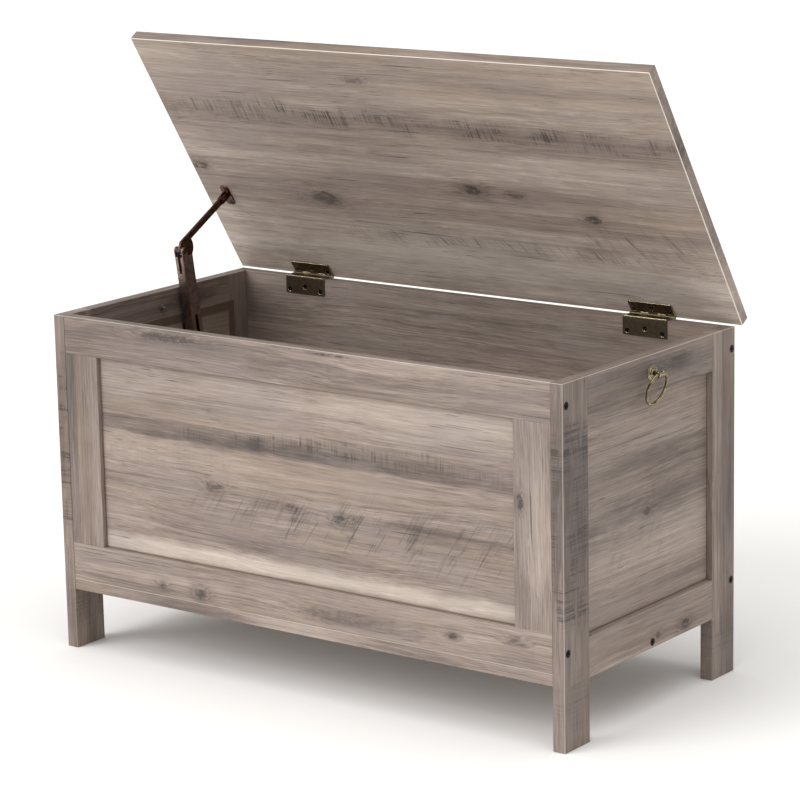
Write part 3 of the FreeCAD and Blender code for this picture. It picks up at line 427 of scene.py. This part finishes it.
LID_MARKS = (
    ("Saw", 0.15, 0.292, 0.22, 0.028, 1.00),
    ("Saw", 0.42, 0.291, 0.26, 0.026, 1.15),
    ("Saw", 0.68, 0.281, 0.22, 0.020, 1.05),
    ("Dark", 0.40, 0.286, 0.55, 0.022, 0.55),
    ("Knot", 0.350, 0.353, 0.016, 0.005, 0.45),
    ("Knot", 0.016, 0.184, 0.018, 0.010, 0.80),
    ("Knot", 0.212, 0.146, 0.026, 0.014, 0.70),
    ("Knot", 0.464, 0.187, 0.014, 0.010, 1.10),
    ("Knot", 0.634, 0.155, 0.012, 0.007, 1.10),
    ("Knot", 0.530, 0.183, 0.014, 0.005, 0.60),
    ("Slant", 0.695, 0.124, 0.11, 0.050, 1.00),
    ("Slant", 0.540, 0.092, 0.22, 0.015, 1.00),
    ("Slant", 0.300, 0.088, 0.18, 0.014, 0.80),
    ("Dark", 0.22, 0.180, 0.32, 0.070, 0.45),
    ("Dark", 0.56, 0.170, 0.24, 0.050, 0.40),
    ("Light", 0.50, 0.050, 0.70, 0.055, 1.30),
    ("Light", 0.62, 0.235, 0.24, 0.026, 0.60),
    ("Dark", 0.30, 0.375, 0.40, 0.025, 0.40),
)
SIDE_PANEL_MARKS = (
    ("Dark", 0.14, 0.195, 0.24, 0.016, 0.60),
    ("Dark", 0.16, 0.140, 0.22, 0.020, 0.60),
    ("Knot", 0.150, 0.130, 0.007, 0.006, 0.85),
    ("Slant", 0.13, 0.085, 0.10, 0.035, 0.40),
    ("Light", 0.16, 0.100, 0.22, 0.030, 0.50),
    ("Saw", 0.19, 0.150, 0.07, 0.014, 0.45),
)
RAIL_MARKS = (
    ("Knot", 0.17, 0.038, 0.050, 0.006, 0.75),
    ("Knot", 0.43, 0.045, 0.040, 0.002, 0.90),
    ("Dark", 0.20, 0.036, 0.12, 0.012, 0.60),
    ("Dark", 0.60, 0.020, 0.20, 0.012, 0.30),
)
SMALL_KNOTS = (
    ("Knot", 0.152, 0.013, 0.008, 0.005, 0.70),
    ("Knot", 0.215, 0.012, 0.011, 0.007, 0.95),
)
LOW_RAIL_MARKS = SMALL_KNOTS + (
    ("Dark", 0.46, 0.020, 0.16, 0.018, 0.80),
    ("Knot", 0.44, 0.018, 0.075, 0.010, 0.40),
    ("Dark", 0.14, 0.006, 0.10, 0.008, 0.40),
    ("Knot", 0.610, 0.022, 0.009, 0.004, 0.85),
    ("Knot", 0.700, 0.030, 0.016, 0.005, 0.60),
)
BOTTOM_MARKS = (
    ("Dark", 0.20, 0.0, 0.11, 0.030, 0.70),
    ("Light", 0.36, 0.0, 0.09, 0.030, 0.60),
    ("Dark", 0.55, 0.0, 0.10, 0.030, 0.60),
)
REAR_LEG_MARKS = (
    ("Dark", 0.290, 0.025, 0.150, 0.080, 0.50),
    ("Saw", 0.060, 0.025, 0.040, 0.080, 0.50),
)
FRONT_LEG_MARKS = REAR_LEG_MARKS + (
    ("Saw", 0.350, 0.025, 0.070, 0.080, 1.45),
    ("Saw", 0.255, 0.025, 0.060, 0.080, 1.50),
    ("Saw", 0.180, 0.025, 0.045, 0.080, 1.25),
)
SIDE_RAIL_MARKS = (
    ("Knot", 0.200, 0.030, 0.022, 0.006, 0.60),
    ("Dark", 0.160, 0.024, 0.100, 0.014, 0.50),
)
STILE_MARKS = (
    ("Knot", 0.153, 0.009, 0.010, 0.006, 1.20),
    ("Light", 0.120, 0.030, 0.110, 0.030, 0.50),
)

panel_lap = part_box("front_bottom_rail")[1].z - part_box("front_panel")[0].z
board("front_panel", "x", "z", 1.0, FRONT_PANEL_MARKS, tone=-0.01, lap=panel_lap)
board("front_top_rail", "x", "z", 2.0, RAIL_MARKS, ("-y+z",), tone=-0.04)
board("front_bottom_rail", "x", "z", 3.0, LOW_RAIL_MARKS, tone=-0.08)
board("front_left_stile", "z", "x", 4.0, tone=-0.14)
board("front_right_stile", "z", "x", 5.0, STILE_MARKS, tone=0.01)
board("back_panel", "x", "z", 6.0, tone=-0.05)
board("bottom_board", "x", "y", 7.0, BOTTOM_MARKS, ("-y+z",), line_strength=0.3)
for number, (side, outer) in enumerate((("left", "-x"), ("right", "+x"))):
    board(side + "_front_leg", "z", "y", 8.0 + number, FRONT_LEG_MARKS,
          ("-y" + outer, "+z-y", "+z" + outer), tone=-0.11)
    board(side + "_rear_leg", "z", "y", 10.0 + number, REAR_LEG_MARKS,
          ("+y" + outer, "+z" + outer), tone=-0.15)
    board(side + "_top_rail", "y", "z", 12.0 + number, SIDE_RAIL_MARKS, ("+z" + outer,), tone=-0.19)
    board(side + "_bottom_rail", "y", "z", 14.0 + number, SMALL_KNOTS)
    board(side + "_side_panel", "y", "z", 16.0 + number, SIDE_PANEL_MARKS, tone=-0.03, lap=panel_lap)


def lid_board():
    """The lid rests open, so its board coordinates follow its own tilt, which its lowest
    corner, at the rear, and its foremost one give. Marks are seen from underneath."""
    corners = [vertex.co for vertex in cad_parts["lid_board"].data.vertices]
    rear = min(corners, key=lambda corner: corner.z)
    front = min(corners, key=lambda corner: corner.y)
    along = AXES["x"]
    across = Vector((0, front.y - rear.y, front.z - rear.z)).normalized()
    under = along.cross(across)
    spans = []
    for axis in (along, across, under):
        reach = [axis.dot(corner) for corner in corners]
        spans.append((min(reach), max(reach)))
    origin = sum((axis * low for axis, (low, high) in zip((along, across, under), spans)), Vector())
    size = [high - low for low, high in spans]
    # the lid's underside edges get the pale line of cut foil and painted highlight
    lines = [(under, side) for side in (along, -along, across, -across)]
    dress("lid_board", laminate("laminate_lid_board", origin, along, across, size, 18.0, LID_MARKS,
                                lines, tone=0.14, line_width=LID_LINE,
                                line_strength=LID_LINE_STRENGTH, lean=-1.0, band=LID_BAND))


lid_board()


# ---- Metals and small parts ----
def fold_line(g, place, leaf):
    """How far a point is from the fold of a hinge leaf over the back panel's top."""
    leaf_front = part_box(leaf)[0].y
    panel_low, panel_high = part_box("back_panel")
    leaf_top = panel_high.z + panel_low.y - leaf_front
    _, y, z = g.split(place)
    return g.math("MAXIMUM", g.math("SUBTRACT", y, leaf_front), g.math("SUBTRACT", leaf_top, z))


def worn_metal(name, face_colour, edge_colour, stain_and_dark_reflection, rough=0.34, edge_width=0.0007, rub_and_highlight=0.8,
               cloud=150.0, folded_leaf=None):
    """Plated metal whose edges are rounded and coloured bright, partly as rubbed wear and partly as a
    painted highlight, with a mottled patina on its faces. A folded leaf gets a painted highlight along
    its fold too."""
    material, g, shader = new_material(name)
    place = g.node("ShaderNodeTexCoord").outputs["Object"]
    patina = g.noise(place, (cloud, cloud, cloud), detail=3.0, rough=0.6)
    speck = g.noise(place, (SPECK_SCALE, SPECK_SCALE, SPECK_SCALE), detail=2.0, rough=0.6)
    bevel = g.node("ShaderNodeBevel", samples=4)
    bevel.inputs["Radius"].default_value = edge_width
    rounded = bevel.outputs[0]
    normal = g.node("ShaderNodeNewGeometry").outputs["Normal"]
    # bright edges: partly rubbed wear, partly a painted highlight
    edge = g.ramp(g.vector("DOT_PRODUCT", rounded, normal), 0.995, 0.90, 0.0, rub_and_highlight)
    # painted highlight along the fold of a folded leaf
    if folded_leaf:
        fold = g.ramp(fold_line(g, place, folded_leaf), FOLD_HIGHLIGHT, FOLD_HIGHLIGHT / 2, 0.0, rub_and_highlight)
        edge = g.math("MAXIMUM", edge, fold)
    edge = g.times(edge, g.ramp(speck, 0.35, 0.55, 0.55, 1.0))
    mottled = g.mix(g.ramp(patina, 0.38, 0.66), face_colour, stain_and_dark_reflection)
    g.put(shader.inputs["Base Color"], g.mix(edge, mottled, edge_colour))
    shader.inputs["Metallic"].default_value = 1.0
    g.put(shader.inputs["Roughness"], g.plus(g.swing(patina, 0.22), rough, g.times(edge, -0.12)))
    g.put(shader.inputs["Normal"], g.bump(g.plus(patina, speck), METAL_BUMP, rounded))
    return material


def plain_finish(name, colour, second, rough, metallic=0.0, size=300.0):
    """A quiet finish with a fine mottle in colour, gloss and height."""
    material, g, shader = new_material(name)
    place = g.node("ShaderNodeTexCoord").outputs["Object"]
    mottle = g.noise(place, (size, size, size), detail=3.0, rough=0.6)
    g.put(shader.inputs["Base Color"], g.mix(g.ramp(mottle, 0.35, 0.65), colour, second))
    shader.inputs["Metallic"].default_value = metallic
    g.put(shader.inputs["Roughness"], g.plus(g.swing(mottle, 0.16), rough))
    g.put(shader.inputs["Normal"], g.bump(mottle, METAL_BUMP))
    return material


brass = worn_metal("antique_brass", tint(112, 99, 82), tint(240, 226, 188), tint(88, 76, 60),
                   rough=0.36, edge_width=0.0011, rub_and_highlight=0.95)
folded_brass = worn_metal("folded_brass", tint(118, 105, 88), tint(240, 226, 188), tint(94, 82, 66),
                          rough=0.34, edge_width=0.0011, rub_and_highlight=0.95, folded_leaf="right_hinge_lower_leaf")
# the ring's dark stain mottle is partly patina and partly a painted dark reflection
ring_brass = worn_metal("ring_brass", tint(158, 143, 114), tint(240, 232, 206), tint(98, 84, 62),
                        rough=0.18, edge_width=0.0006, rub_and_highlight=0.6, cloud=110.0)
bronze = worn_metal("oil_rubbed_bronze", tint(88, 65, 57), tint(200, 122, 88), tint(62, 46, 42),
                    rough=0.32, edge_width=0.0010, rub_and_highlight=0.85)
channel_bronze = worn_metal("channel_bronze", tint(150, 131, 126), tint(200, 128, 96),
                            tint(122, 105, 99), rough=0.36, edge_width=0.0010, rub_and_highlight=0.85)
black_steel = worn_metal("black_steel", tint(30, 29, 29), tint(120, 116, 112), tint(22, 21, 21),
                         rough=0.38, edge_width=0.0004, rub_and_highlight=0.5)
zinc = plain_finish("zinc_steel", tint(176, 176, 174), tint(150, 150, 150), 0.35, 1.0)
nylon = plain_finish("washer_plastic", tint(52, 50, 48), tint(42, 40, 39), 0.55)
beech = plain_finish("dowel_beech", tint(205, 172, 128), tint(184, 148, 104), 0.62, 0.0, 120.0)

FINISHES = (
    (brass, ("left_hinge_upper_leaf", "left_hinge_pin", "left_ring_plate",
             "right_hinge_upper_leaf", "right_hinge_pin", "right_ring_plate")),
    (folded_brass, ("left_hinge_lower_leaf", "right_hinge_lower_leaf")),
    (ring_brass, ("left_ring", "left_ring_eyebolt", "right_ring", "right_ring_eyebolt")),
    (bronze, ("stay_arm", "stay_elbow_pin", "stay_lid_foot", "stay_lid_pin",
              "stay_base_bracket", "stay_base_pin")),
    (channel_bronze, ("stay_channel",)),
    (black_steel, ("left_frame_bolts", "right_frame_bolts", "hinge_chest_screws",
                   "hinge_lid_screws", "stay_base_screws", "stay_lid_screws")),
    (zinc, ("left_ring_nut", "right_ring_nut", "stay_spring")),
    (nylon, ("stay_elbow_washers", "stay_spring_seats")),
    (beech, ("left_side_dowels", "right_side_dowels", "front_dowels", "bottom_dowels")),
)
for finish, names in FINISHES:
    for name in names:
        dress(name, finish)


# ---- Floor, light and camera ----
def add_floor():
    mesh = bpy.data.meshes.new("studio_floor")
    corners = [(x * FLOOR_HALF, y * FLOOR_HALF, -FLOOR_DROP)
               for x, y in ((-1, -1), (1, -1), (1, 1), (-1, 1))]
    mesh.from_pydata(corners, [], [(0, 1, 2, 3)])
    floor = bpy.data.objects.new("studio_floor", mesh)
    bpy.context.scene.collection.objects.link(floor)
    material, g, shader = new_material("studio_floor")
    place = g.node("ShaderNodeTexCoord").outputs["Object"]
    cloud = g.noise(place, (1.5, 1.5, 1.5))
    g.put(shader.inputs["Base Color"], g.mix(cloud, tint(244, 243, 241), tint(247, 246, 244)))
    shader.inputs["Roughness"].default_value = 0.9
    mesh.materials.append(material)


def add_world():
    world = bpy.data.worlds.new("studio")
    world.use_nodes = True
    background = world.node_tree.nodes["Background"]
    background.inputs["Color"].default_value = SKY_COLOUR
    background.inputs["Strength"].default_value = SKY_STRENGTH
    bpy.context.scene.world = world


def add_sun(name, source, strength, spread):
    """A soft distant light that comes from the direction of source."""
    light = bpy.data.lights.new(name, "SUN")
    light.energy = strength
    light.angle = math.radians(spread)
    lamp = bpy.data.objects.new(name, light)
    lamp.rotation_mode = "QUATERNION"
    lamp.rotation_quaternion = Vector(source).to_track_quat("Z", "Y")
    bpy.context.scene.collection.objects.link(lamp)


def add_camera():
    camera = bpy.data.objects.new("camera", bpy.data.cameras.new("camera"))
    camera.data.lens = CAMERA_LENS
    camera.data.sensor_width = CAMERA_SENSOR
    camera.data.clip_end = CAMERA_REACH
    turn = Matrix.Rotation(CAMERA_YAW, 4, "Z")
    turn = turn @ Matrix.Rotation(math.radians(90) - CAMERA_PITCH, 4, "X")
    turn = turn @ Matrix.Rotation(CAMERA_ROLL, 4, "Z")
    camera.matrix_world = Matrix.Translation(CAMERA_AT) @ turn
    bpy.context.scene.collection.objects.link(camera)
    bpy.context.scene.camera = camera


add_floor()
add_world()
for light in LIGHTS:
    add_sun(*light)
add_camera()
bpy.context.scene.view_settings.view_transform = "Standard"
